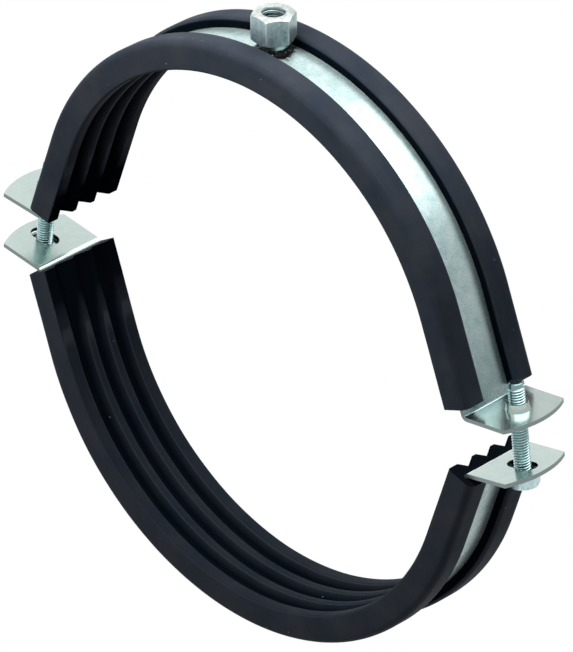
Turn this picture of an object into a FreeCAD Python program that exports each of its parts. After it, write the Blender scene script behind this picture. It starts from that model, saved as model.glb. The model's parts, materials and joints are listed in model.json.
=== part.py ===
import FreeCAD, Part
import math
import os

from FreeCAD import Placement, Rotation, Vector

# Two-piece duct clamp with a ribbed rubber lining, drawn open on its two screws.
#
# Millimetres and degrees. The origin is the axis of the duct as the upper half holds it.
# +Y runs along the duct, +Z points up to the threaded boss, and the lugs stand out along X.
#
# Each half is made like the sheet it is folded from. A section is carried along straight and
# bent stretches, in a local frame whose x is the way of travel, y the width of the strip and
# z the distance outward from the face of the strip that looks at the duct.

# The duct and the strip
duct_radius = 90.0
strip_width = 30.0
strip_thickness = 1.5
bend_radius = 1.0

# The lugs, folded out from the ends of the strip
lug_flat = 17.0
lug_bulge = 4.0
screw_reach = 9.8

# The upper half follows the duct and its straight ends lean outward
upper_lean = 20.2
upper_lug_tilt = 6.5
upper_fold_height = -1.6

# The lower half hangs open below it, sprung a little wider
halves_apart = 21.8
lower_spread = 2.4
lower_lean = 19.0
lower_lug_tilt = 9.6
lower_fold_height = 0.0

# The rubber lining: depth inside the strip, thickness of the lips, rubber past the strip's edges
lining_depth = 5.5
lip_thickness = 4.0
lining_wrap = 2.4
window_width = 15.0
lining_fit = 0.05
lip_corner_radius = 2.6

# The ribs that grip the duct and the valleys between them. The rounded corners of the lips
# are made of short flats, each about as long as flat_length.
valley_count = 3
valley_depth = 3.1
valley_floor = 1.0
rib_crest = 2.0
edge_rib_crest = 4.6
flat_length = 2.0

# Where each end of the lining is cut, as its distance past the fold at the lip and at the ribs
upper_right_cut = (-4.6, -4.6)
upper_left_cut = (-2.8, -3.9)
lower_right_cut = (-1.5, -1.5)
lower_left_cut = (-2.3, -0.2)
lip_clearance = 0.4

# Hexagonal connection boss with an M8 thread, chamfered at both ends, on a welded neck
boss_flats = 14.0
boss_height = 10.5
boss_standoff = 4.2
boss_turn = -4.6
boss_chamfer = 0.9
boss_bore_radius = 3.4
boss_mouth_radius = 4.2
neck_radius = 5.2
weld_radius = 6.6
weld_height = 2.2
weld_top_radius = 5.6
seat_gap = 0.05

# M6 screws with plain washers under their heads
screw_diameter = 6.0
screw_tip_radius = 2.3
screw_tip_length = 1.2
screw_projection = 10.2
head_flats = 10.0
head_height = 4.0
head_chamfer = 0.6
right_head_turn = 55.0
left_head_turn = 20.0
thread_clearance = 0.05
washer_radius = 6.3
washer_bore_radius = 3.2
washer_thickness = 1.6

# The collars drawn up from the upper lugs and the slots in the lower lugs
collar_height = 3.0
collar_base_radius = 4.4
collar_top_radius = 3.9
slot_length = 12.0
slot_width = 7.0

# The slope of the chamfers on the hexagons
chamfer_slope = 30.0

# How far a cutting shape reaches past what it cuts, and a length greater than any piece
over_cut = 1.0
far = 2 * duct_radius

across = Vector(0, 1, 0)


def placed(shape, place):
    """A copy of the shape, moved from its local frame to the place."""
    moved = shape.copy()
    moved.Placement = place.multiply(moved.Placement)
    return moved


def rounded_face(corners):
    """A face in the local y-z plane. Each corner is y, z and the radius that rounds it."""
    points = []
    count = len(corners)
    for i in range(count):
        here = Vector(0, corners[i][0], corners[i][1])
        before = Vector(0, corners[i - 1][0], corners[i - 1][1])
        after = Vector(0, corners[(i + 1) % count][0], corners[(i + 1) % count][1])
        radius = corners[i][2]
        if radius == 0:
            points.append(here)
            continue
        to_before = (before - here).normalize()
        to_after = (after - here).normalize()
        half_angle = to_before.getAngle(to_after) / 2
        reach = radius / math.tan(half_angle)
        middle_way = (to_before + to_after).normalize()
        middle = here + middle_way * (radius / math.sin(half_angle) - radius)
        arc = Part.Arc(here + to_before * reach, middle, here + to_after * reach)
        flats = max(1, round(arc.length() / flat_length))
        points += arc.discretize(flats + 1)
    return Part.Face(Part.makePolygon(points + [points[0]]))


def side_prism(points, half_width):
    """A prism across the strip, from an outline of x and z points."""
    corners = [Vector(x, -half_width, z) for x, z in points]
    corners.append(corners[0])
    return Part.Face(Part.makePolygon(corners)).extrude(Vector(0, 2 * half_width, 0))


def carry_straight(face, place, length):
    """Carry the section straight on. Returns the solid and the place it ends at."""
    step = place.Rotation.multVec(Vector(length, 0, 0))
    solid = placed(face, place).extrude(step)
    return solid, Placement(step, Rotation()).multiply(place)


def carry_round(face, place, centre_height, angle):
    """Carry the section round a bend whose centre lies at a height over the strip's inner face.

    A positive angle turns towards the duct.
    """
    centre = place.multVec(Vector(0, 0, centre_height))
    axis = Vector(0, math.copysign(1, angle), 0)
    solid = placed(face, place).revolve(centre, axis, abs(angle))
    turn = Placement(Vector(0, 0, 0), Rotation(axis, abs(angle)), centre)
    return solid, turn.multiply(place)


def strip_face():
    """The section of the bare strip."""
    side = strip_width / 2
    return rounded_face(
        [
            (-side, 0, 0),
            (side, 0, 0),
            (side, strip_thickness, 0),
            (-side, strip_thickness, 0),
        ]
    )


def lining_face():
    """The section of the lining: lips over the strip's edges, ribs and valleys on the duct side."""
    crest = -lining_depth
    valley = crest + valley_depth
    side = strip_width / 2 + lining_wrap
    slot_side = strip_width / 2 + lining_fit
    slot_top = strip_thickness + lining_fit
    outside = strip_thickness + lip_thickness
    window = window_width / 2
    valley_pitch = (2 * side - 2 * edge_rib_crest + rib_crest) / valley_count
    slope_end = (valley_pitch - rib_crest) / 2
    corners = [(-side, crest, 0)]
    for k in range(valley_count):
        middle = (k - (valley_count - 1) / 2) * valley_pitch
        corners.append((middle - slope_end, crest, 0))
        corners.append((middle - valley_floor / 2, valley, 0))
        corners.append((middle + valley_floor / 2, valley, 0))
        corners.append((middle + slope_end, crest, 0))
    corners += [
        (side, crest, 0),
        (side, outside, lip_corner_radius),
        (window, outside, 0),
        (window, slot_top, 0),
        (slot_side, slot_top, 0),
        (slot_side, -lining_fit, 0),
        (-slot_side, -lining_fit, 0),
        (-slot_side, slot_top, 0),
        (-window, slot_top, 0),
        (-window, outside, 0),
        (-side, outside, lip_corner_radius),
    ]
    return rounded_face(corners)


class Half:
    """The line that one half of the clamp is bent along, from its top to one lug."""

    def __init__(self, radius, lean, tilt, fold_height):
        self.radius = radius
        self.lean = lean
        self.bend = 90 - lean + tilt
        setback = (bend_radius + strip_thickness) * math.tan(math.radians(self.bend / 2))
        lean_radians = math.radians(lean)
        drop = radius * math.sin(lean_radians) - fold_height
        self.to_fold = drop / math.cos(lean_radians)
        self.straight = self.to_fold - setback
        self.top = Placement(Vector(0, 0, radius), Rotation())

    def ring(self, face, straight):
        """The arc and a straight stretch. Returns the solids and the place they end at."""
        arc, place = carry_round(face, self.top, -self.radius, 90 - self.lean)
        end, place = carry_straight(face, place, straight)
        return [arc, end], place

    def arc_end(self):
        """The place where the arc meets the straight end."""
        return self.ring(strip_face(), self.straight)[1].multiply(
            Placement(Vector(-self.straight, 0, 0), Rotation())
        )

    def lug_place(self):
        """The place where the flat of the lug begins."""
        place = self.arc_end().multiply(Placement(Vector(self.straight, 0, 0), Rotation()))
        return carry_round(
            strip_face(), place, bend_radius + strip_thickness, -self.bend
        )[1]


upper = Half(
    duct_radius + lining_depth,
    upper_lean,
    upper_lug_tilt,
    upper_fold_height,
)
lower = Half(
    duct_radius + lower_spread + lining_depth,
    lower_lean,
    -lower_lug_tilt,
    lower_fold_height,
)

# The other side of a half is the same shape turned about Z, and the lower half is turned over
right_side = Placement()
left_side = Placement(Vector(0, 0, 0), Rotation(Vector(0, 0, 1), 180))
lower_place = Placement(Vector(0, 0, -halves_apart), Rotation(Vector(1, 0, 0), 180))


def lug():
    """The flat of a lug with its curved outer edge, in the frame of the lug."""
    side = strip_width / 2
    corner_right = Vector(lug_flat, -side, 0)
    corner_left = Vector(lug_flat, side, 0)
    tip = Vector(lug_flat + lug_bulge, 0, 0)
    edges = [
        Part.LineSegment(Vector(0, -side, 0), corner_right).toShape(),
        Part.Arc(corner_right, tip, corner_left).toShape(),
        Part.LineSegment(corner_left, Vector(0, side, 0)).toShape(),
        Part.LineSegment(Vector(0, side, 0), Vector(0, -side, 0)).toShape(),
    ]
    return Part.Face(Part.Wire(edges)).extrude(Vector(0, 0, strip_thickness))


def collar():
    """The collar drawn up round the screw hole of an upper lug."""
    base = Vector(screw_reach, 0, strip_thickness)
    return Part.makeCone(collar_base_radius, collar_top_radius, collar_height, base)


def screw_hole():
    """The tapped hole through an upper lug and its collar."""
    radius = screw_diameter / 2 + thread_clearance
    length = strip_thickness + collar_height + 2 * over_cut
    return Part.makeCylinder(radius, length, Vector(screw_reach, 0, -over_cut))


def slot(centre):
    """The slot through a lower lug, long in the direction of the lug."""
    radius = slot_width / 2
    offset = (slot_length - slot_width) / 2
    length = slot_length - slot_width
    depth = strip_thickness + 2 * over_cut
    bottom = -over_cut
    block = Part.makeBox(length, slot_width, depth, Vector(centre - offset, -radius, bottom))
    ends = [
        Part.makeCylinder(radius, depth, Vector(centre + way * offset, 0, bottom))
        for way in (-1, 1)
    ]
    return block.multiFuse(ends)


def strip_side(half, features):
    """One side of a strip from its top to the end of its lug."""
    face = strip_face()
    solids, place = half.ring(face, half.straight)
    fold, place = carry_round(face, place, bend_radius + strip_thickness, -half.bend)
    flat = features(lug())
    return solids + [fold, placed(flat, place)]


def joined(solids):
    """One solid with its seams taken out."""
    return solids[0].multiFuse(solids[1:]).removeSplitter()


def whole_strip(half, features):
    """Both sides of a strip in the half's own frame."""
    side = strip_side(half, features)
    return joined(side + [placed(solid, left_side) for solid in side])


def upper_lug_features(flat):
    return flat.fuse(collar()).cut(screw_hole())


def screw_place(side):
    """The place of a screw: at the collar's foot, with z along the screw."""
    on_lug = Placement(Vector(screw_reach, 0, 0), Rotation())
    return side.multiply(upper.lug_place()).multiply(on_lug)


def lower_lug_place(side):
    return lower_place.multiply(side).multiply(lower.lug_place())


def screw_in_lower_lug():
    """Where the screw passes the lower lug: its place along the lug, and how far down the screw."""
    lug_frame = lower_lug_place(right_side).inverse()
    screw = screw_place(right_side)
    point = lug_frame.multVec(screw.Base)
    way = lug_frame.Rotation.multVec(screw.Rotation.multVec(Vector(0, 0, -1)))
    to_top = (0 - point.z) / way.z
    to_bottom = (strip_thickness - point.z) / way.z
    middle = (to_top + to_bottom) / 2
    return point.x + way.x * middle, to_bottom


slot_centre, screw_to_underside = screw_in_lower_lug()


def lower_lug_features(flat):
    return flat.cut(slot(slot_centre))


def end_cut(half, cut):
    """What is cut off an end of the lining, in the frame of the arc's end."""
    outside = strip_thickness + lip_thickness
    inside = -lining_depth
    at_lip = half.to_fold + cut[0]
    at_ribs = half.to_fold + cut[1]
    slope = (at_ribs - at_lip) / (inside - outside)
    above = outside + strip_width
    below = inside - strip_width
    outline = [
        (at_lip + slope * strip_width, above),
        (at_ribs - slope * strip_width, below),
        (half.to_fold + far, below),
        (half.to_fold + far, above),
    ]
    return side_prism(outline, strip_width)


def fold_room(half):
    """The room that the fold and the lug need between the side walls of the lining."""
    start = half.straight - lip_clearance
    top = strip_width
    outline = [
        (start, -lining_fit),
        (start, top),
        (half.to_fold + far, top),
        (half.to_fold + far, -lining_fit),
    ]
    return side_prism(outline, strip_width / 2 + lining_fit)


def lining_side(half, cut):
    """One side of a lining from its top to its cut end."""
    reach = half.to_fold + lining_depth
    solids, place = half.ring(lining_face(), reach)
    at_arc_end = half.arc_end()
    solids[1] = solids[1].cut(placed(end_cut(half, cut), at_arc_end))
    solids[1] = solids[1].cut(placed(fold_room(half), at_arc_end))
    return solids


def whole_lining(half, right_cut, left_cut):
    """Both sides of a lining in the half's own frame."""
    right = lining_side(half, right_cut)
    left = lining_side(half, left_cut)
    return joined(right + [placed(solid, left_side) for solid in left])


def hexagon(flats, height, turn, base):
    """A hexagonal prism with a corner at the turn angle."""
    radius = flats / math.sqrt(3)
    corners = []
    for k in range(7):
        angle = math.radians(turn + 60 * k)
        corners.append(base + Vector(radius * math.cos(angle), radius * math.sin(angle), 0))
    return Part.Face(Part.makePolygon(corners)).extrude(Vector(0, 0, height))


def turned_blank(flats, height, chamfer, base, top_too):
    """The turned blank that a hexagon is cut from, chamfered at its bottom and maybe its top."""
    radius = flats / math.sqrt(3) + over_cut
    slope = math.tan(math.radians(chamfer_slope))
    rise = chamfer + over_cut * slope
    flat = radius - rise / slope
    profile = [Vector(0, 0, 0), Vector(flat, 0, 0), Vector(radius, 0, rise)]
    if top_too:
        profile.append(Vector(radius, 0, height - rise))
        profile.append(Vector(flat, 0, height))
    else:
        profile.append(Vector(radius, 0, height))
    profile += [Vector(0, 0, height), Vector(0, 0, 0)]
    blank = Part.Face(Part.makePolygon(profile)).revolve(Vector(), Vector(0, 0, 1), 360)
    blank.translate(base)
    return blank


strip_top = upper.radius + strip_thickness
boss_foot = strip_top + boss_standoff
boss_top = boss_foot + boss_height


def over_strip(gap):
    """What lies above the top of the strip, to trim what stands on it."""
    block = Part.makeBox(far, far, far, Vector(-far / 2, -far / 2, 0))
    round_strip = Part.makeCylinder(
        strip_top + gap, far, Vector(0, -far / 2, 0), across
    )
    return block.cut(round_strip)


def boss():
    """The hexagonal boss on its neck, with the bore of the thread and its countersunk mouth."""
    base = Vector(0, 0, boss_foot)
    body = hexagon(boss_flats, boss_height, boss_turn, base)
    body = body.common(turned_blank(boss_flats, boss_height, boss_chamfer, base, True))
    neck_start = strip_top - strip_thickness
    neck = Part.makeCylinder(
        neck_radius, boss_foot - neck_start, Vector(0, 0, neck_start)
    )
    mouth_depth = boss_mouth_radius - boss_bore_radius
    bore = Part.makeCylinder(boss_bore_radius, far, Vector(0, 0, neck_start))
    mouth = Part.makeCone(
        boss_bore_radius,
        boss_mouth_radius,
        mouth_depth,
        Vector(0, 0, boss_top - mouth_depth),
    )
    solid = body.fuse(neck).cut(bore).cut(mouth)
    return solid.common(over_strip(seat_gap)).removeSplitter()


def boss_weld():
    """The weld bead round the neck of the boss."""
    start = strip_top - strip_thickness
    bead = Part.makeCone(
        weld_radius, weld_top_radius, strip_thickness + weld_height, Vector(0, 0, start)
    )
    inside = Part.makeCylinder(neck_radius + seat_gap, far, Vector(0, 0, start))
    return bead.cut(inside).common(over_strip(seat_gap))


tilt_difference = math.radians(lower_lug_tilt - upper_lug_tilt)
washer_drop = screw_to_underside + washer_radius * math.tan(tilt_difference) + seat_gap


def washer():
    """A plain washer, under the lower lug."""
    base = Vector(0, 0, -washer_drop - washer_thickness)
    disc = Part.makeCylinder(washer_radius, washer_thickness, base)
    return disc.cut(Part.makeCylinder(washer_bore_radius, washer_thickness, base))


def screw(head_turn):
    """A screw with its hexagonal head below the washer and its tip above the collar."""
    head_top = -washer_drop - washer_thickness - seat_gap
    head_base = Vector(0, 0, head_top - head_height)
    head = hexagon(head_flats, head_height, head_turn, head_base)
    head = head.common(turned_blank(head_flats, head_height, head_chamfer, head_base, False))
    tip = strip_thickness + screw_projection
    full = tip - screw_tip_length
    radius = screw_diameter / 2
    shank = Part.makeCylinder(radius, full - head_top, Vector(0, 0, head_top))
    end = Part.makeCone(radius, screw_tip_radius, screw_tip_length, Vector(0, 0, full))
    return head.fuse([shank, end]).removeSplitter()


parts = {
    "upper_strip": whole_strip(upper, upper_lug_features),
    "upper_lining": whole_lining(upper, upper_right_cut, upper_left_cut),
    "lower_strip": placed(whole_strip(lower, lower_lug_features), lower_place),
    "lower_lining": placed(whole_lining(lower, lower_right_cut, lower_left_cut), lower_place),
    "boss": boss(),
    "boss_weld": boss_weld(),
    "right_washer": placed(washer(), screw_place(right_side)),
    "left_washer": placed(washer(), screw_place(left_side)),
    "right_screw": placed(screw(right_head_turn), screw_place(right_side)),
    "left_screw": placed(screw(left_head_turn), screw_place(left_side)),
}

os.makedirs("parts", exist_ok=True)
for name, shape in parts.items():
    solids = shape.Solids
    kept = solids[0] if len(solids) == 1 else shape
    kept.exportStep("parts/" + name + ".step")
    box = kept.BoundBox
    print(
        "%-13s solids %d valid %s volume %.1f box %.2f..%.2f %.2f..%.2f %.2f..%.2f"
        % (
            name,
            len(solids),
            kept.isValid(),
            kept.Volume,
            box.XMin,
            box.XMax,
            box.YMin,
            box.YMax,
            box.ZMin,
            box.ZMax,
        )
    )
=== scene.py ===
import json
import math

import bmesh
import bpy
from mathutils import Matrix, Vector, noise

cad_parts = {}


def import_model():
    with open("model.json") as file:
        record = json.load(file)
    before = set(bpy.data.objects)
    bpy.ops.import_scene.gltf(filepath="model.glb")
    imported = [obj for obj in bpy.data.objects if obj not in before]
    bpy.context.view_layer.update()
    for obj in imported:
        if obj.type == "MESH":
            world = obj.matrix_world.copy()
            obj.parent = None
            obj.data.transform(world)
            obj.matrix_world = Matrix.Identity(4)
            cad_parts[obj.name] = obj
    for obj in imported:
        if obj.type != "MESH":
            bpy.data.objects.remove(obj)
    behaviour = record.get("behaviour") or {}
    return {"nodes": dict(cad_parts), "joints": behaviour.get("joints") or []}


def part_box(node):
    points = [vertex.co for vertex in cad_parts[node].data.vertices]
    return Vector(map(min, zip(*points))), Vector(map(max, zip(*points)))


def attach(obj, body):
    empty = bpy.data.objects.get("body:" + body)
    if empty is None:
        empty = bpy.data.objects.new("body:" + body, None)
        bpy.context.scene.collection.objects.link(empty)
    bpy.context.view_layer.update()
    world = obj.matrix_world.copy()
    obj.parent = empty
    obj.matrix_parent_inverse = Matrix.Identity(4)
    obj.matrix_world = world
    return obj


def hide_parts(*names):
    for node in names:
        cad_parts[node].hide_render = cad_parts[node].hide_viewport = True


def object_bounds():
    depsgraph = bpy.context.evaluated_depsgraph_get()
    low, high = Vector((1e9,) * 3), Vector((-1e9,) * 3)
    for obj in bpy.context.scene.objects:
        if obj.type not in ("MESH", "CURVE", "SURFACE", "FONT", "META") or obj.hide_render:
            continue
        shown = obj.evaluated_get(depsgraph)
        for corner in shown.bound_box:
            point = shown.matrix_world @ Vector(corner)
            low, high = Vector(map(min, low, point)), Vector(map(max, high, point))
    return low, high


# Looks of the duct clamp. Its shapes are worked out in millimetres, and its meshes are in metres,
# as are the floor and the lamps.
MM = 0.001

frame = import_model()
cad_low, cad_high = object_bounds()

# The strip and the two halves, as the frame has them
strip_width = 30.0
strip_thickness = 1.5
bend_radius = 1.0
duct_radius = 90.0
lining_depth = 5.5
upper_radius = duct_radius + lining_depth
upper_lean = 20.2
upper_lug_tilt = 6.5
upper_fold_height = -1.6
halves_apart = 21.8
lower_spread = 2.4
lower_radius = upper_radius + lower_spread
lower_lean = 19.0
lower_lug_tilt = 9.6
lower_fold_height = 0.0

# The rubber's section
lip_thickness = 4.0
lining_wrap = 2.4
window_width = 15.0
lining_fit = 0.05
lip_corner_radius = 2.6
lip_edge_radius = 1.5
inner_corner_radius = 0.9
valley_count = 3
valley_depth = 3.1
valley_floor = 1.0
rib_crest = 2.0
edge_rib_crest = 4.6
rib_radius = 0.5

# The cut ends of the rubber, past the fold at the lip and at the ribs
upper_right_cut = (-4.6, -4.6)
upper_left_cut = (-2.8, -3.9)
lower_right_cut = (-1.5, -1.5)
lower_left_cut = (-2.3, -0.2)
lip_clearance = 0.4

# How finely the pieces are meshed
ring_step = 1.6
section_step = 1.6
corner_step = math.radians(15)
thread_steps = 10
screw_columns = 48
boss_columns = 72
weld_columns = 96
weld_rows = 9

# Lengths too small to count
same_place = 1e-6
least_edge = 1e-5
merge_distance = 1e-4

# The boss and its weld
boss_flats = 14.0
boss_height = 10.5
boss_turn = -4.6
boss_chamfer = 0.9
chamfer_slope = math.tan(math.radians(30))
boss_bore_radius = 3.4
boss_thread_depth = 0.62
boss_thread_pitch = 1.25
boss_thread_fade = 0.4
boss_thread_start = 0.1
boss_thread_gap = 0.05
boss_mouth_radius = 4.35
boss_mouth_depth = 0.5
neck_radius = 5.2
weld_radius = 6.3
weld_height = 2.2
weld_top_radius = 5.5
lump_height = 0.35
seat_gap = 0.05
seat_radius = upper_radius + strip_thickness + seat_gap

# The screws
thread_pitch = 1.0
thread_radius = 3.0
thread_root = 2.42
thread_fade = 0.7
thread_gap = 0.1
tip_length = 1.5
tip_chamfer = 0.25
head_flats = 10.0
head_height = 4.0
head_chamfer = 0.6
head_dish = 0.35
dish_share = 0.72
brim_share = 0.86
right_head_turn = 55.0
left_head_turn = 20.0


# Mesh helpers


def finished(name, mesh_data, body, replaced, look, sharp_angle=35):
    """A piece from a bmesh: shaded, finished, riding on its body in place of its node."""
    mesh = bpy.data.meshes.new(name)
    bmesh.ops.recalc_face_normals(mesh_data, faces=mesh_data.faces)
    mesh_data.to_mesh(mesh)
    mesh_data.free()
    mesh.shade_smooth()
    mesh.set_sharp_from_angle(angle=math.radians(sharp_angle))
    piece = bpy.data.objects.new(name, mesh)
    bpy.context.scene.collection.objects.link(piece)
    mesh.materials.append(look)
    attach(piece, body)
    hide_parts(replaced)
    return piece


def rounded_outline(corners, step):
    """Points round a closed outline. Each corner is y, z and the radius that rounds it."""
    points = []
    count = len(corners)
    for i, (y, z, radius) in enumerate(corners):
        here = Vector((y, z))
        if radius == 0:
            points.append(here)
            continue
        to_before = (Vector(corners[i - 1][:2]) - here).normalized()
        to_after = (Vector(corners[(i + 1) % count][:2]) - here).normalized()
        half_angle = to_before.angle(to_after) / 2
        reach = radius / math.tan(half_angle)
        centre = here + (to_before + to_after).normalized() * radius / math.sin(half_angle)
        start = here + to_before * reach - centre
        end = here + to_after * reach - centre
        pieces = max(1, round(start.angle(end) / step))
        for k in range(pieces + 1):
            points.append(centre + start.slerp(end, k / pieces) * radius)
    return points


def with_extra_points(points, step):
    """The outline with its long stretches divided."""
    fine = []
    for i, here in enumerate(points):
        after = points[(i + 1) % len(points)]
        pieces = max(1, round((after - here).length / step))
        for k in range(pieces):
            fine.append(here.lerp(after, k / pieces))
    return fine


# The rubber linings


class Line:
    """The line that one half of the clamp is bent along, in the half's own frame."""

    def __init__(self, radius, lean, tilt, fold_height):
        self.radius = radius
        self.arc = math.radians(90 - lean)
        lean = math.radians(lean)
        bend = math.radians(90 + tilt) - lean
        self.to_fold = (radius * math.sin(lean) - fold_height) / math.cos(lean)
        self.straight = self.to_fold - (bend_radius + strip_thickness) * math.tan(bend / 2)

    def at(self, travel, height):
        """The x and z of a point, from its distance along the line and its height outward."""
        side = math.copysign(1, travel)
        travel = abs(travel)
        turn = min(travel / self.radius, self.arc)
        beyond = travel - turn * self.radius
        x = (self.radius + height) * math.sin(turn) + beyond * math.cos(turn)
        z = (self.radius + height) * math.cos(turn) - beyond * math.sin(turn)
        return side * x, z

    def past_arc(self, distance):
        """The distance along the line of a point past the end of the arc."""
        return self.arc * self.radius + distance


upper_line = Line(upper_radius, upper_lean, upper_lug_tilt, upper_fold_height)
lower_line = Line(lower_radius, lower_lean, -lower_lug_tilt, lower_fold_height)
lower_place = Matrix.Translation((0, 0, -halves_apart)) @ Matrix.Rotation(math.pi, 4, "X")


def lining_section():
    """The section of the rubber, and the two runs of it that stop at the fold of the lug."""
    crest = -lining_depth
    valley = crest + valley_depth
    side = strip_width / 2 + lining_wrap
    slot_side = strip_width / 2 + lining_fit
    slot_top = strip_thickness + lining_fit
    outside = strip_thickness + lip_thickness
    window = window_width / 2
    pitch = (2 * side - 2 * edge_rib_crest + rib_crest) / valley_count
    slope_end = (pitch - rib_crest) / 2
    corners = [(-side, crest, inner_corner_radius)]
    for k in range(valley_count):
        middle = (k - (valley_count - 1) / 2) * pitch
        corners.append((middle - slope_end, crest, rib_radius))
        corners.append((middle - valley_floor / 2, valley, rib_radius))
        corners.append((middle + valley_floor / 2, valley, rib_radius))
        corners.append((middle + slope_end, crest, rib_radius))
    corners += [
        (side, crest, inner_corner_radius),
        (side, outside, lip_corner_radius),
        (window, outside, lip_edge_radius),
        (window, slot_top, 0),
        (slot_side, slot_top, 0),
        (slot_side, -lining_fit, 0),
        (-slot_side, -lining_fit, 0),
        (-slot_side, slot_top, 0),
        (-window, slot_top, 0),
        (-window, outside, lip_edge_radius),
        (-side, outside, lip_corner_radius),
    ]
    points = with_extra_points(rounded_outline(corners, corner_step), section_step)
    split = []
    stops = []
    for i, here in enumerate(points):
        after = points[(i + 1) % len(points)]
        split.append(here)
        for edge in (slot_side, -slot_side):
            crossed = (here.x - edge) * (after.x - edge) < -same_place
            if crossed and min(here.y, after.y) > slot_top:
                stops.append(len(split))
                split.append(here.lerp(after, (edge - here.x) / (after.x - here.x)))
    for side_sign in (1, -1):
        corner = Vector((side_sign * slot_side, slot_top))
        stops.append(min(range(len(split)), key=lambda k: (split[k] - corner).length))
    right = sorted(k for k in stops if split[k].x > 0)
    left = sorted(k for k in stops if split[k].x < 0)
    return split, (right, left)


def cut_off(mesh, line, side, places):
    """Cut the rubber off past a straight line through two points of travel and height."""
    (x0, z0), (x1, z1) = [line.at(line.past_arc(travel), height) for travel, height in places]
    origin = Vector((side * x0, 0, z0))
    along = Vector((side * (x1 - x0), 0, z1 - z0)).normalized()
    outward = Vector((0, 1, 0)).cross(along)
    travel_way = Vector((side * math.cos(line.arc), 0, -math.sin(line.arc)))
    if outward.dot(travel_way) < 0:
        outward.negate()
    arc_end = side * (line.radius - lining_depth) * math.sin(line.arc)
    faces = [f for f in mesh.faces if side * (f.calc_center_median().x - arc_end) > 0]
    edges = dict.fromkeys(e for f in faces for e in f.edges)
    points = dict.fromkeys(v for f in faces for v in f.verts)
    cut = bmesh.ops.bisect_plane(
        mesh,
        geom=[*points, *edges, *faces],
        dist=least_edge,
        plane_co=origin,
        plane_no=outward,
        clear_outer=True,
    )
    rim = [e for e in cut["geom_cut"] if isinstance(e, bmesh.types.BMEdge)]
    bmesh.ops.triangle_fill(mesh, edges=rim, use_beauty=True, normal=outward)


def sagging(point, travel, seed):
    """Small unevenness of the soft rubber: how far a point of its skin lies under the true form."""
    long_wave = 23
    wide_wave = 9
    long_ripple = 6
    wide_ripple = 4
    wave_depth = 0.07
    ripple_depth = 0.02
    wave = noise.noise(Vector((travel / long_wave, point.x / wide_wave, seed)))
    at = (travel / long_ripple, point.x / wide_ripple, point.y / wide_ripple + seed)
    ripple = noise.noise(Vector(at))
    return wave_depth * (1 + wave) + ripple_depth * (1 + ripple)


def ring_travels(line, lip_end):
    """Where the rings of points stand along a half, with one just where the lips end."""
    end = line.past_arc(line.to_fold + lining_depth)
    whole = round(lip_end / ring_step)
    beyond = round((end - lip_end) / ring_step)
    travels = [lip_end * k / whole for k in range(whole)]
    travels += [lip_end + (end - lip_end) * k / beyond for k in range(beyond + 1)]
    return [-t for t in reversed(travels[1:])] + travels


def rings_along(mesh, line, section, travels, seed):
    """A ring of points at each place along a half, with the unevenness of the rubber."""
    centre = Vector((0, -lining_depth / 2))
    rings = []
    for travel in travels:
        ring = []
        for point in section:
            inward = (centre - point).normalized() * sagging(point, travel, seed)
            x, z = line.at(travel, point.y + inward.y)
            ring.append(mesh.verts.new((x, point.x + inward.x, z)))
        rings.append(ring)
    return rings


def lining(name, body, line, place, right_cut, left_cut, seed, look):
    """One rubber lining, swept along its half and cut at its ends."""
    section, stops = lining_section()
    count = len(section)
    lip_end = line.past_arc(line.straight - lip_clearance)
    travels = ring_travels(line, lip_end)
    mesh = bmesh.new()
    rings = rings_along(mesh, line, section, travels, seed)
    dropped = set()
    for first, last in stops:
        dropped.update(range(first + 1, last))
    kept = [k for k in range(count) if k not in dropped]
    for here, there, travel_here, travel_there in zip(rings, rings[1:], travels, travels[1:]):
        past_lips = max(abs(travel_here), abs(travel_there)) > lip_end + same_place
        order = kept if past_lips else list(range(count))
        for a, b in zip(order, order[1:] + order[:1]):
            mesh.faces.new((here[a], here[b], there[b], there[a]))
    for travel, ring in zip(travels, rings):
        if abs(abs(travel) - lip_end) < same_place:
            for first, last in stops:
                mesh.faces.new(ring[first : last + 1])
    loose = [v for v in mesh.verts if not v.link_faces]
    bmesh.ops.delete(mesh, geom=loose, context="VERTS")
    inside = -lining_depth
    outside = strip_thickness + lip_thickness
    for side, cut in ((1, right_cut), (-1, left_cut)):
        at_lip = line.to_fold + cut[0]
        at_ribs = line.to_fold + cut[1]
        cut_off(mesh, line, side, ((at_lip, outside), (at_ribs, inside)))
    mesh.transform(Matrix.Scale(MM, 4) @ place)
    return finished(name + "_rubber", mesh, body, name, look)


# Turned and threaded pieces


def hexagon_reach(flats, angle, turn):
    """The distance from the axis to the side of a hexagon whose corner is at the turn angle."""
    sixth = math.pi / 3
    within = (angle - turn) % sixth - sixth / 2
    return flats / 2 / math.cos(within)


def thread_shape(share):
    """How far the flank stands between root (0) and crest (1), over one pitch."""
    flank = 0.36
    root = 0.14
    if share < root:
        return 0.0
    if share < root + flank:
        return (share - root) / flank
    if share < 1 - flank:
        return 1.0
    return (1 - share) / flank


def joined_rings(mesh, rings):
    """Faces between rings of points, each ring closed on itself."""
    for here, there in zip(rings, rings[1:]):
        count = len(here)
        for k in range(count):
            after = (k + 1) % count
            mesh.faces.new((here[k], here[after], there[after], there[k]))


def ring_of(mesh, columns, radius_at, height_at):
    """A ring of points round the axis, with radius and height worked out for each angle."""
    ring = []
    for angle in columns:
        radius = radius_at(angle)
        spot = (radius * math.cos(angle), radius * math.sin(angle), height_at(angle))
        ring.append(mesh.verts.new(spot))
    return ring


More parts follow.
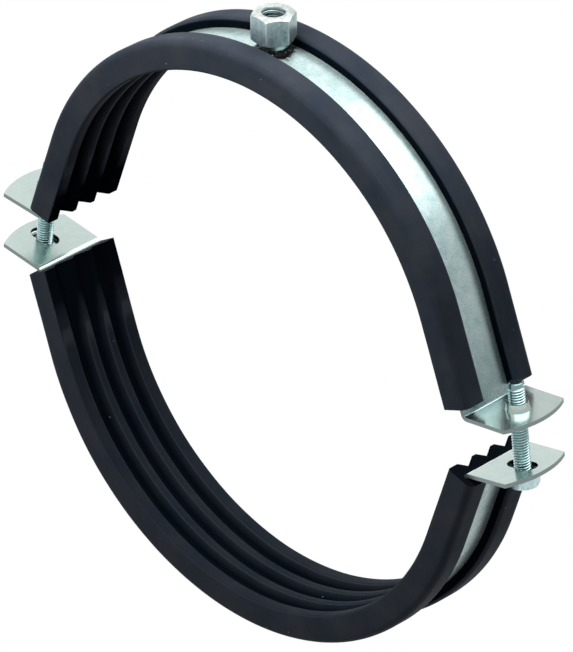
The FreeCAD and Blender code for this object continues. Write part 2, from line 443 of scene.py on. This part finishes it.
def thread(mesh, columns, low, high, pitch, root, crest, fade):
    """A helical thread between two heights, faded to the root at both ends.

    Returns its lowest and highest loops of points.
    """
    rise = pitch / thread_steps
    count = len(columns)
    rows = math.floor((high - low - pitch) / rise)
    grid = []
    for i in range(rows + 1):
        row = []
        for j in range(count + 1):
            angle = columns[j % count]
            height = low + i * rise + pitch * j / count
            share = (i / thread_steps) % 1
            stand = min(1, (height - low) / fade, (high - height) / fade)
            radius = root + (crest - root) * thread_shape(share) * max(0, stand)
            spot = (radius * math.cos(angle), radius * math.sin(angle), height)
            row.append(mesh.verts.new(spot))
        grid.append(row)
    for here, there in zip(grid, grid[1:]):
        for j in range(count):
            mesh.faces.new((here[j], here[j + 1], there[j + 1], there[j]))
    return grid[0], grid[-1]


def hem(mesh, loop, ring):
    """Faces between the sloping end of a thread and a level ring."""
    count = len(ring)
    for j in range(count):
        mesh.faces.new((loop[j], loop[j + 1], ring[(j + 1) % count], ring[j]))


def closed(mesh):
    """Merge points that meet and fill what is still open."""
    bmesh.ops.remove_doubles(mesh, verts=mesh.verts, dist=merge_distance)
    open_edges = [e for e in mesh.edges if e.is_boundary]
    bmesh.ops.holes_fill(mesh, edges=open_edges, sides=0)
    bmesh.ops.dissolve_degenerate(mesh, edges=mesh.edges, dist=least_edge)


def even_columns(count, turn):
    """Evenly spaced angles round the axis, from a first one."""
    return [turn + 2 * math.pi * k / count for k in range(count)]


def screw_axis(name):
    """The foot and the direction of a screw's axis, from the joint that it turns in."""
    joint = next(j for j in frame["joints"] if j["name"] == name + "_turn")
    return Vector(joint["pos_m"]), Vector(joint["axis"])


def screw_frame(name):
    """The place of a screw: z along the screw, x outward."""
    foot, axis = screw_axis(name)
    side = math.copysign(1, foot.x)
    across = Vector((0, side, 0))
    outward = across.cross(axis)
    turn = Matrix((outward, across, axis)).transposed().to_4x4()
    return Matrix.Translation(foot) @ turn


def reach_along(node, place):
    """The lowest and highest points of a node along the z of a place, in millimetres."""
    back = place.inverted()
    heights = [(back @ v.co).z / MM for v in frame["nodes"][node].data.vertices]
    return min(heights), max(heights)


def screw(name, head_turn, look):
    """A screw with a hexagonal head and a rolled thread, in place of its plain solid."""
    place = screw_frame(name)
    bottom, tip = reach_along(name, place)
    turn = math.radians(head_turn)
    columns = even_columns(screw_columns, turn)
    under_head = bottom + head_height
    thread_top = tip - tip_length
    corner = head_flats / math.sqrt(3)
    flat = corner - head_chamfer / chamfer_slope

    def side_of(angle):
        return hexagon_reach(head_flats, angle, turn)

    def chamfer_end(angle):
        return bottom + max(0, side_of(angle) - flat) * chamfer_slope

    mesh = bmesh.new()
    dish = ring_of(mesh, columns, lambda a: flat * dish_share, lambda a: bottom + head_dish)
    brim = ring_of(mesh, columns, lambda a: flat * brim_share, lambda a: bottom)
    rim = ring_of(mesh, columns, lambda a: flat, lambda a: bottom)
    sides = ring_of(mesh, columns, side_of, chamfer_end)
    top = ring_of(mesh, columns, side_of, lambda a: under_head)
    shank = ring_of(mesh, columns, lambda a: thread_root, lambda a: under_head)
    joined_rings(mesh, [dish, brim, rim, sides, top, shank])
    low, high = thread(
        mesh,
        columns,
        under_head + thread_gap,
        thread_top,
        thread_pitch,
        thread_root,
        thread_radius,
        thread_fade,
    )
    hem(mesh, low, shank)
    neck = ring_of(mesh, columns, lambda a: thread_root, lambda a: thread_top)
    hem(mesh, high, neck)
    nose = ring_of(mesh, columns, lambda a: thread_root, lambda a: tip - tip_chamfer)
    end = ring_of(mesh, columns, lambda a: thread_root - tip_chamfer, lambda a: tip)
    joined_rings(mesh, [neck, nose, end])
    closed(mesh)
    mesh.transform(place @ Matrix.Scale(MM, 4))
    return finished(name + "_threaded", mesh, name, name, look)


def on_strip(radius):
    """A function that gives the height of the strip's outside for an angle round the boss."""
    return lambda angle: math.sqrt(seat_radius**2 - (radius * math.cos(angle)) ** 2)


def boss(look):
    """The hexagonal boss with its countersunk, threaded bore and its neck."""
    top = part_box("boss")[1].z / MM
    foot = top - boss_height
    turn = math.radians(boss_turn)
    columns = even_columns(boss_columns, turn)
    corner = boss_flats / math.sqrt(3)
    flat = corner - boss_chamfer / chamfer_slope

    def side_of(angle):
        return hexagon_reach(boss_flats, angle, turn)

    def chamfer_height(angle):
        return max(0, side_of(angle) - flat) * chamfer_slope

    bottom = seat_radius + boss_thread_start
    mouth_end = top - boss_mouth_depth
    root = boss_bore_radius + boss_thread_depth
    mesh = bmesh.new()
    outside = [
        ring_of(mesh, columns, lambda a: boss_bore_radius, on_strip(boss_bore_radius)),
        ring_of(mesh, columns, lambda a: neck_radius, on_strip(neck_radius)),
        ring_of(mesh, columns, lambda a: neck_radius, lambda a: foot),
        ring_of(mesh, columns, lambda a: flat, lambda a: foot),
        ring_of(mesh, columns, side_of, lambda a: foot + chamfer_height(a)),
        ring_of(mesh, columns, side_of, lambda a: top - chamfer_height(a)),
        ring_of(mesh, columns, lambda a: flat, lambda a: top),
        ring_of(mesh, columns, lambda a: boss_mouth_radius, lambda a: top),
        ring_of(mesh, columns, lambda a: root, lambda a: mouth_end),
    ]
    joined_rings(mesh, outside)
    first, last = thread(
        mesh,
        columns,
        bottom,
        mouth_end - boss_thread_gap,
        boss_thread_pitch,
        root,
        boss_bore_radius,
        boss_thread_fade,
    )
    hem(mesh, last, outside[-1])
    wall = ring_of(mesh, columns, lambda a: root, lambda a: bottom - boss_thread_gap)
    hem(mesh, first, wall)
    joined_rings(mesh, [wall, outside[0]])
    closed(mesh)
    mesh.transform(Matrix.Scale(MM, 4))
    return finished("boss_threaded", mesh, "upper_half", "boss", look)


def weld(look):
    """The lumpy burnt bead round the neck of the boss."""
    lumps_around = 2.6
    lumps_upward = 1.7
    swell_top = 1.25
    spread = 0.4
    unevenness = 0.5
    columns = even_columns(weld_columns, 0)
    inner = neck_radius + seat_gap
    mesh = bmesh.new()
    rings = []
    for i in range(weld_rows + 1):
        share = i / weld_rows
        ring = []
        for angle in columns:
            way = Vector((math.cos(angle), math.sin(angle), share * lumps_upward))
            lump = noise.fractal(way * lumps_around, 1.0, 2.0, 3)
            swell = math.sin(math.pi * min(1, share * swell_top))
            radius = weld_radius + (weld_top_radius - weld_radius) * share
            radius += lump_height * (swell + lump)
            radius = max(inner + seat_gap, min(radius, weld_radius + spread))
            rise = (weld_height + unevenness * lump * (1 - share)) * share
            height = on_strip(radius)(angle) + rise
            ring.append(mesh.verts.new((radius * math.cos(angle), radius * math.sin(angle), height)))
        rings.append(ring)
    rings.append(ring_of(mesh, columns, lambda a: inner, lambda a: seat_radius + weld_height))
    rings.append(ring_of(mesh, columns, lambda a: inner, on_strip(inner)))
    rings.append(rings[0])
    joined_rings(mesh, rings)
    mesh.transform(Matrix.Scale(MM, 4))
    return finished("boss_weld_bead", mesh, "upper_half", "boss_weld", look, 50)


# Materials


def new_material(name):
    """A material, its node tree and its shader."""
    made = bpy.data.materials.new(name)
    made.use_nodes = True
    return made, made.node_tree, made.node_tree.nodes["Principled BSDF"]


def set_or_link(tree, socket, value):
    """Feed an input: a socket is linked to it, anything else is set on it."""
    if isinstance(value, bpy.types.NodeSocket):
        tree.links.new(value, socket)
    else:
        socket.default_value = value


def node(tree, kind, inputs=None, **settings):
    """A shader node with its settings and inputs."""
    made = tree.nodes.new(kind)
    for key, value in settings.items():
        setattr(made, key, value)
    for key, value in (inputs or {}).items():
        set_or_link(tree, made.inputs[key], value)
    return made


def coordinates(tree, output="Object"):
    """The x, y and z of a point, or of the normal or direction that another output gives."""
    source = node(tree, "ShaderNodeTexCoord").outputs[output]
    return node(tree, "ShaderNodeSeparateXYZ", {"Vector": source}).outputs


def cloudy(tree, scale, detail=3.0, roughness=0.55, grain=(1, 1, 1)):
    """Noise between 0 and 1, with a grain that may run along one axis."""
    place = node(tree, "ShaderNodeTexCoord").outputs["Object"]
    vector = node(tree, "ShaderNodeMapping", {"Vector": place, "Scale": grain}).outputs[0]
    inputs = {"Vector": vector, "Scale": scale, "Detail": detail, "Roughness": roughness}
    return node(tree, "ShaderNodeTexNoise", inputs).outputs[0]


def ranged(tree, value, low, high, to_low, to_high):
    """A value carried from one range to another and held there."""
    inputs = {0: value, 1: low, 2: high, 3: to_low, 4: to_high}
    return node(tree, "ShaderNodeMapRange", inputs).outputs[0]


def mixed(tree, share, first, second):
    """A colour between two, by a share."""
    made = node(tree, "ShaderNodeMix", {0: share, 6: first, 7: second}, data_type="RGBA")
    return made.outputs[2]


def bumped(tree, shader, height, strength, distance):
    """Fine relief from a height."""
    inputs = {"Height": height, "Strength": strength, "Distance": distance}
    tree.links.new(node(tree, "ShaderNodeBump", inputs).outputs[0], shader.inputs["Normal"])


def maths(tree, operation, first, second=0.0):
    """One step of arithmetic on values."""
    inputs = {0: first, 1: second}
    return node(tree, "ShaderNodeMath", inputs, operation=operation).outputs[0]


def times(tree, first, second):
    """Two values multiplied, which is also what two shares have in common."""
    return maths(tree, "MULTIPLY", first, second)


def larger(tree, first, second):
    """The larger of two values."""
    return maths(tree, "MAXIMUM", first, second)


def unsigned(tree, value):
    """A value without its sign."""
    return maths(tree, "ABSOLUTE", value)


def rest_of(tree, share):
    """What a share leaves of one."""
    return maths(tree, "SUBTRACT", 1.0, share)


def from_line(tree, first, second):
    """The distance of a point from an axis, from its two coordinates across it."""
    squares = maths(tree, "ADD", maths(tree, "POWER", first, 2), maths(tree, "POWER", second, 2))
    return maths(tree, "POWER", squares, 0.5)


def rubber_form(tree):
    """How far a point of the rubber faces outward, and its distance past the crests of the ribs.

    Each half is taken as half a ring round its own centre.
    """
    place = coordinates(tree)
    facing = coordinates(tree, "Normal")
    middle = halves_apart * MM / 2
    above_middle = maths(tree, "ADD", place["Z"], middle)
    height = larger(tree, maths(tree, "SUBTRACT", unsigned(tree, above_middle), middle), 0.0)
    from_centre = from_line(tree, place["X"], height)
    sideways = times(tree, place["X"], facing["X"])
    away = times(tree, maths(tree, "SIGN", above_middle), facing["Z"])
    outward = maths(tree, "ADD", sideways, times(tree, height, away))
    outward = maths(tree, "DIVIDE", outward, from_centre)
    lower_crest = (duct_radius + lower_spread) * MM
    crest = ranged(tree, above_middle, -1 * MM, 1 * MM, lower_crest, duct_radius * MM)
    return outward, maths(tree, "SUBTRACT", from_centre, crest)


def rubber():
    """Matt extruded rubber: bloomed and dusty outside, with painted shade inside and in the window,
    and at its cut ends painted shade on top of the fresher black of the cut.
    """
    dark = (0.029, 0.039, 0.056, 1)
    pale = (0.052, 0.059, 0.072, 1)
    drawn_line = (0.064, 0.072, 0.086, 1)
    shaded = (0.001, 0.003, 0.006, 1)
    crest_line = (0.05, 0.062, 0.076, 1)
    dust_speck = (0.24, 0.29, 0.31, 1)
    rib_side = 0.6 * MM
    groove_floor = 2.5 * MM
    window_start = 7.8 * MM
    window_end = 8.6 * MM
    made, tree, shader = new_material("lining rubber")
    place = coordinates(tree)
    facing = coordinates(tree, "Normal")
    sideways = unsigned(tree, facing["Y"])
    outward, past_crest = rubber_form(tree)

    bloom = cloudy(tree, 60, 5, 0.6)
    lines = cloudy(tree, 30, 2, 0.5, (1, 40, 1))
    base = mixed(tree, ranged(tree, bloom, 0.35, 0.7, 0, 1), dark, pale)
    base = mixed(tree, ranged(tree, lines, 0.6, 0.8, 0, 0.5), base, drawn_line)

    # Painted shade inside the ring, deepest in the grooves, and on the walls of the window; the cut
    # ends are darker too, partly the fresher black of the cut and partly painted shade under the lugs
    inside = ranged(tree, outward, -0.15, -0.6, 0, 1)
    inside = times(tree, inside, ranged(tree, past_crest, rib_side, groove_floor, 0.58, 0.93))
    faces_along = ranged(tree, unsigned(tree, outward), 0.6, 0.45, 0, 1)
    cut_end = times(tree, faces_along, ranged(tree, sideways, 0.35, 0.2, 0, 0.85))
    near_window = ranged(tree, unsigned(tree, place["Y"]), window_start, window_end, 1, 0)
    window_wall = times(tree, near_window, ranged(tree, sideways, 0.88, 1.0, 0, 0.95))
    shade = larger(tree, larger(tree, inside, cut_end), window_wall)
    base = mixed(tree, shade, base, shaded)

    # A pale line along each edge of a rib
    at_crest = ranged(tree, past_crest, 0.08 * MM, 0.25 * MM, 0, 0.6)
    at_crest = times(tree, at_crest, ranged(tree, past_crest, 0.5 * MM, 0.7 * MM, 1, 0))
    base = mixed(tree, at_crest, base, crest_line)

    # Specks of dust, in patches
    at = node(tree, "ShaderNodeTexCoord").outputs["Object"]
    spots = node(tree, "ShaderNodeTexVoronoi", {"Vector": at, "Scale": 170.0}).outputs["Distance"]
    dusty = ranged(tree, cloudy(tree, 38, 2, 0.5), 0.5, 0.6, 0, 1)
    dust = times(tree, ranged(tree, spots, 0.03, 0.065, 1, 0), dusty)
    base = mixed(tree, dust, base, dust_speck)

    grain = cloudy(tree, 2600, 2, 0.6)
    tree.links.new(base, shader.inputs["Base Color"])
    tree.links.new(ranged(tree, grain, 0.3, 0.7, 0.6, 0.75), shader.inputs["Roughness"])
    tree.links.new(ranged(tree, shade, 0.2, 0.9, 0.1, 0.0), shader.inputs["Specular IOR Level"])
    bumped(tree, shader, grain, 0.25, 0.08 * MM)
    return made


def zinc_sheet():
    """Zinc-plated strip: speckled on the bands, smooth on the lugs, dull at its sheared edges."""
    dull = (0.47, 0.67, 0.66, 1)
    bright = (0.73, 0.89, 0.87, 1)
    smooth = (0.63, 0.71, 0.655, 1)
    speck = (0.36, 0.46, 0.45, 1)
    band_painted_shade = (0.2, 0.29, 0.3, 1)
    lug_painted_shade = (0.26, 0.36, 0.37, 1)
    sheared_edge = (0.28, 0.34, 0.33, 1)
    slot_painted_shade = (0.01, 0.015, 0.016, 1)
    scorch = (0.022, 0.018, 0.016, 1)
    band_end = 101.5 * MM
    lug_start = 104.5 * MM
    lug_shade_end = 109 * MM
    tip_start = 112 * MM
    screw_reach = 116.5 * MM
    screw_surround = 6.6 * MM
    gap_low = -13 * MM
    gap_high = -12 * MM
    band_shade_low = 4 * MM
    band_shade_high = 30 * MM
    crown_height = 90 * MM
    scorch_radius = 6.6 * MM
    made, tree, shader = new_material("zinc sheet")
    place = coordinates(tree)
    facing = coordinates(tree, "Normal")
    reach = unsigned(tree, place["X"])
    on_lug = ranged(tree, reach, band_end, lug_start, 0, 1)
    on_band = rest_of(tree, on_lug)
    on_upper = ranged(tree, place["Z"], gap_low, gap_high, 0, 1)
    upright = ranged(tree, unsigned(tree, facing["Z"]), 0.45, 0.6, 1, 0)

    mottle = cloudy(tree, 260, 5, 0.65)
    speckle = cloudy(tree, 1700, 3, 0.7)
    base = mixed(tree, ranged(tree, mottle, 0.3, 0.62, 0, 1), dull, bright)
    base = mixed(tree, times(tree, on_lug, 0.8), base, smooth)
    specked = times(tree, ranged(tree, speckle, 0.53, 0.68, 0, 0.75), on_band)
    base = mixed(tree, specked, base, speck)

    # Painted shade on the band above the fold of the upper half, darkest near the fold
    above_fold = times(tree, on_band, ranged(tree, place["Z"], 0, 1 * MM, 0, 1))
    above_fold = times(tree, above_fold, ranged(tree, place["Z"], band_shade_high, band_shade_low, 0, 0.7))
    base = mixed(tree, above_fold, base, band_painted_shade)

    # Sheared edges and tips, but not what is round the screws
    across = maths(tree, "SUBTRACT", reach, screw_reach)
    from_screw = from_line(tree, across, place["Y"])
    near_screw = ranged(tree, from_screw, screw_surround, screw_surround + 0.4 * MM, 1, 0)
    at_tip = times(tree, upright, ranged(tree, reach, tip_start, tip_start + 1 * MM, 0, 1))
    sheared = ranged(tree, unsigned(tree, facing["Y"]), 0.8, 0.95, 0, 1)
    sheared = times(tree, larger(tree, sheared, at_tip), rest_of(tree, near_screw))
    base = mixed(tree, sheared, base, sheared_edge)

    # Painted shade on the walls of the lower lugs' slots
    in_slot = times(tree, upright, times(tree, near_screw, on_lug))
    in_slot = times(tree, in_slot, rest_of(tree, on_upper))
    base = mixed(tree, in_slot, base, slot_painted_shade)

    # Painted shade on the upper lugs beside the fold, fading toward the tip
    by_fold = times(tree, on_lug, ranged(tree, reach, lug_start, lug_shade_end, 0.85, 0))
    base = mixed(tree, times(tree, by_fold, on_upper), base, lug_painted_shade)

    # The burnt ring round the boss
    ragged = times(tree, ranged(tree, cloudy(tree, 420, 4, 0.7), 0.3, 0.7, -1, 1), 1.6 * MM)
    from_boss = maths(tree, "ADD", from_line(tree, place["X"], place["Y"]), ragged)
    burnt = ranged(tree, from_boss, scorch_radius, scorch_radius + 1.6 * MM, 1, 0)
    burnt = times(tree, burnt, ranged(tree, place["Z"], crown_height, crown_height + 3 * MM, 0, 1))
    base = mixed(tree, burnt, base, scorch)

    metallic = maths(tree, "ADD", 0.55, times(tree, on_lug, 0.35))
    metallic = times(tree, metallic, rest_of(tree, burnt))
    roughness = ranged(tree, speckle, 0.3, 0.7, 0.25, 0.35)
    roughness = maths(tree, "SUBTRACT", roughness, times(tree, on_lug, 0.1))
    roughness = maths(tree, "ADD", roughness, times(tree, sheared, 0.2))
    tree.links.new(base, shader.inputs["Base Color"])
    tree.links.new(metallic, shader.inputs["Metallic"])
    tree.links.new(roughness, shader.inputs["Roughness"])
    bumped(tree, shader, speckle, 0.15, 0.05 * MM)
    return made


def zinc_boss():
    """Satin zinc plating: bright turned faces, duller drawn flats, a painted highlight along the
    corners.
    """
    drawn_dull = (0.34, 0.48, 0.5, 1)
    drawn_bright = (0.57, 0.72, 0.73, 1)
    turned_dull = (0.68, 0.74, 0.7, 1)
    turned_bright = (0.95, 0.97, 0.94, 1)
    corner_painted_highlight = (0.9, 0.93, 0.91, 1)
    bore_shade = (0.03, 0.06, 0.065, 1)
    corner_highlight_start = 7.78 * MM
    corner_highlight_full = 7.92 * MM
    crest_radius = 3.3 * MM
    flank_radius = 3.6 * MM
    bore_radius = 3.88 * MM
    bore_end = 3.94 * MM
    made, tree, shader = new_material("zinc boss")
    place = coordinates(tree)
    facing = coordinates(tree, "Normal")
    from_axis = from_line(tree, place["X"], place["Y"])

    mottle = cloudy(tree, 700, 4, 0.6)
    lines = cloudy(tree, 900, 3, 0.6, (1, 1, 0.06))
    both = maths(tree, "ADD", times(tree, mottle, 0.5), times(tree, lines, 0.5))
    drawn = mixed(tree, ranged(tree, both, 0.38, 0.62, 0, 1), drawn_dull, drawn_bright)
    turned = mixed(tree, ranged(tree, mottle, 0.38, 0.62, 0, 1), turned_dull, turned_bright)
    level = ranged(tree, unsigned(tree, facing["Z"]), 0.3, 0.6, 0, 1)
    base = mixed(tree, level, drawn, turned)
    # A painted highlight along the corners of the hexagon
    base = mixed(tree, ranged(tree, from_axis, corner_highlight_start, corner_highlight_full, 0, 0.6), base, corner_painted_highlight)

    # Painted shade in the bore, deepest in the roots of its thread
    in_bore = ranged(tree, from_axis, bore_radius, bore_end, 1, 0)
    in_bore = times(tree, in_bore, ranged(tree, from_axis, crest_radius, flank_radius, 0.75, 1))
    base = mixed(tree, in_bore, base, bore_shade)

    tree.links.new(base, shader.inputs["Base Color"])
    shader.inputs["Metallic"].default_value = 0.85
    tree.links.new(ranged(tree, mottle, 0.3, 0.7, 0.26, 0.4), shader.inputs["Roughness"])
    bumped(tree, shader, cloudy(tree, 2400, 2, 0.6), 0.2, 0.06 * MM)
    return made


def weld_metal():
    """Burnt weld with a little pale spatter."""
    burnt = (0.01, 0.01, 0.01, 1)
    pale = (0.75, 0.74, 0.7, 1)
    made, tree, shader = new_material("weld metal")
    spatter = cloudy(tree, 1300, 2, 0.5)
    base = mixed(tree, ranged(tree, spatter, 0.655, 0.69, 0, 1), burnt, pale)
    tree.links.new(base, shader.inputs["Base Color"])
    shader.inputs["Metallic"].default_value = 0.2
    tree.links.new(ranged(tree, spatter, 0.4, 0.7, 0.8, 0.35), shader.inputs["Roughness"])
    shader.inputs["Specular IOR Level"].default_value = 0.15
    bumped(tree, shader, spatter, 0.6, 0.2 * MM)
    return made


def zinc_fastener():
    """Bright zinc plating on the screws and washers, with painted shade in the roots of the threads.
    """
    dull = (0.43, 0.62, 0.63, 1)
    bright = (0.72, 0.89, 0.9, 1)
    root_shade = (0.14, 0.24, 0.25, 1)
    shade_start = 2.55 * MM
    shade_end = 2.9 * MM
    foot, axis = screw_axis("right_screw")
    axis_distance = foot.cross(axis).length
    made, tree, shader = new_material("zinc fastener")
    place = coordinates(tree)
    mottle = cloudy(tree, 900, 3, 0.6)
    base = mixed(tree, ranged(tree, mottle, 0.35, 0.7, 0, 1), dull, bright)
    reach = times(tree, unsigned(tree, place["X"]), axis.z)
    reach = maths(tree, "ADD", reach, times(tree, place["Z"], -axis.x))
    across = maths(tree, "SUBTRACT", reach, axis_distance)
    from_axis = from_line(tree, across, place["Y"])
    # Painted shade in the roots of the threads
    base = mixed(tree, ranged(tree, from_axis, shade_start, shade_end, 0.7, 0), base, root_shade)
    tree.links.new(base, shader.inputs["Base Color"])
    shader.inputs["Metallic"].default_value = 1.0
    tree.links.new(ranged(tree, mottle, 0.3, 0.7, 0.16, 0.28), shader.inputs["Roughness"])
    bumped(tree, shader, mottle, 0.2, 0.05 * MM)
    return made


# The pieces


def dressed(names, look):
    """Give a look to nodes that keep the shape they have in the frame."""
    for name in names:
        materials = frame["nodes"][name].data.materials
        materials.clear()
        materials.append(look)


rubber_look = rubber()
sheet_look = zinc_sheet()
boss_look = zinc_boss()
weld_look = weld_metal()
fastener_look = zinc_fastener()

lining(
    "upper_lining",
    "upper_half",
    upper_line,
    place=Matrix(),
    right_cut=upper_right_cut,
    left_cut=upper_left_cut,
    seed=3.0,
    look=rubber_look,
)
lining(
    "lower_lining",
    "lower_half",
    lower_line,
    place=lower_place,
    right_cut=lower_right_cut,
    left_cut=lower_left_cut,
    seed=8.0,
    look=rubber_look,
)
screw("right_screw", right_head_turn, fastener_look)
screw("left_screw", left_head_turn, fastener_look)
boss(boss_look)
weld(weld_look)
dressed(("upper_strip", "lower_strip"), sheet_look)
dressed(("left_washer", "right_washer"), fastener_look)


# The floor, the lamps and the camera


def floor():
    """A plain white floor, far enough below the hung clamp to keep its shadow out of the way."""
    half = 12.0
    drop = 0.35
    grey = (0.4, 0.41, 0.42, 1)
    white = (1, 1, 1, 1)
    in_reflections = 0.8
    height = cad_low.z - drop
    mesh = bpy.data.meshes.new("floor")
    sides = ((-half, -half), (half, -half), (half, half), (-half, half))
    corners = [(x, y, height) for x, y in sides]
    mesh.from_pydata(corners, [], [(0, 1, 2, 3)])
    made = bpy.data.objects.new("floor", mesh)
    bpy.context.scene.collection.objects.link(made)
    look, tree, shader = new_material("floor")
    shader.inputs["Base Color"].default_value = grey
    shader.inputs["Roughness"].default_value = 0.9
    rays = node(tree, "ShaderNodeLightPath").outputs
    seen = larger(tree, rays["Is Camera Ray"], rays["Is Transmission Ray"])
    seen = larger(tree, seen, times(tree, rays["Is Glossy Ray"], in_reflections))
    glow = node(tree, "ShaderNodeEmission", {"Color": white, "Strength": 1.0}).outputs[0]
    both = node(tree, "ShaderNodeMixShader", {0: seen, 1: shader.outputs[0], 2: glow}).outputs[0]
    tree.links.new(both, tree.nodes["Material Output"].inputs["Surface"])
    mesh.materials.append(look)


def lamp(name, place, size, power):
    """A soft square lamp that looks at the clamp."""
    light = bpy.data.lights.new(name, "AREA")
    light.size = size
    light.energy = power
    made = bpy.data.objects.new(name, light)
    made.location = place
    made.rotation_euler = (-Vector(place)).to_track_quat("-Z", "Y").to_euler()
    made.visible_camera = False
    made.visible_glossy = False
    bpy.context.scene.collection.objects.link(made)


def world():
    """A white room to look at, and a dim even light from all round.

    Reflections see it grey, with a bright panel overhead and a low bright screen on the left.
    """
    tint = (0.96, 0.98, 1.0, 1)
    dim_light = 0.05
    grey = 0.64
    least_panel = 0.36
    most_panel = 2.3
    screen_light = 1.35
    made = bpy.data.worlds.new("room")
    made.use_nodes = True
    bpy.context.scene.world = made
    tree = made.node_tree
    back = tree.nodes["Background"]
    way = coordinates(tree, "Generated")
    screen = ranged(tree, way["X"], -0.66, -0.58, screen_light, 0)
    screen = times(tree, screen, ranged(tree, way["Z"], 0.28, 0.33, 1, 0))
    panel = ranged(tree, way["X"], -0.12, 0.02, least_panel, most_panel)
    panel = times(tree, panel, ranged(tree, way["Z"], 0.52, 0.57, 0, 1))
    mirrored = larger(tree, maths(tree, "ADD", panel, grey), screen)
    rays = node(tree, "ShaderNodeLightPath").outputs
    glossy = times(tree, rays["Is Glossy Ray"], mirrored)
    seen = larger(tree, rays["Is Camera Ray"], rays["Is Transmission Ray"])
    strength = larger(tree, larger(tree, seen, glossy), dim_light)
    back.inputs["Color"].default_value = tint
    tree.links.new(strength, back.inputs["Strength"])


def camera():
    """The camera of the photograph: its direction, distance, roll and the place it looks at."""
    azimuth = math.radians(44.493)
    elevation = math.radians(29.688)
    roll = math.radians(0.527)
    distance = 2458.0
    aside = 3.501
    below = 9.724
    focal_pixels = 7077.1
    picture_height = 652
    back = Vector(
        (
            math.sin(azimuth) * math.cos(elevation),
            -math.cos(azimuth) * math.cos(elevation),
            math.sin(elevation),
        )
    )
    level = Vector((math.cos(azimuth), math.sin(azimuth), 0))
    upright = back.cross(level)
    right = level * math.cos(roll) - upright * math.sin(roll)
    up = level * math.sin(roll) + upright * math.cos(roll)
    place = (back * distance + right * aside - up * below) * MM
    data = bpy.data.cameras.new("camera")
    data.sensor_width = 36.0
    data.lens = focal_pixels * data.sensor_width / picture_height
    data.clip_start = 0.1
    data.clip_end = 50.0
    made = bpy.data.objects.new("camera", data)
    turn = Matrix((right, up, back)).transposed().to_4x4()
    made.matrix_world = Matrix.Translation(place) @ turn
    bpy.context.scene.collection.objects.link(made)
    bpy.context.scene.camera = made


floor()
lamp("top_back", (-0.1, 0.8, 1.4), 1.2, 15)
lamp("overhead", (0.0, -0.16, 0.34), 0.15, 0.96)
lamp("front_left", (-0.3, -0.3, 0.35), 0.2, 0.42)
world()
camera()
bpy.context.scene.view_settings.view_transform = "Standard"
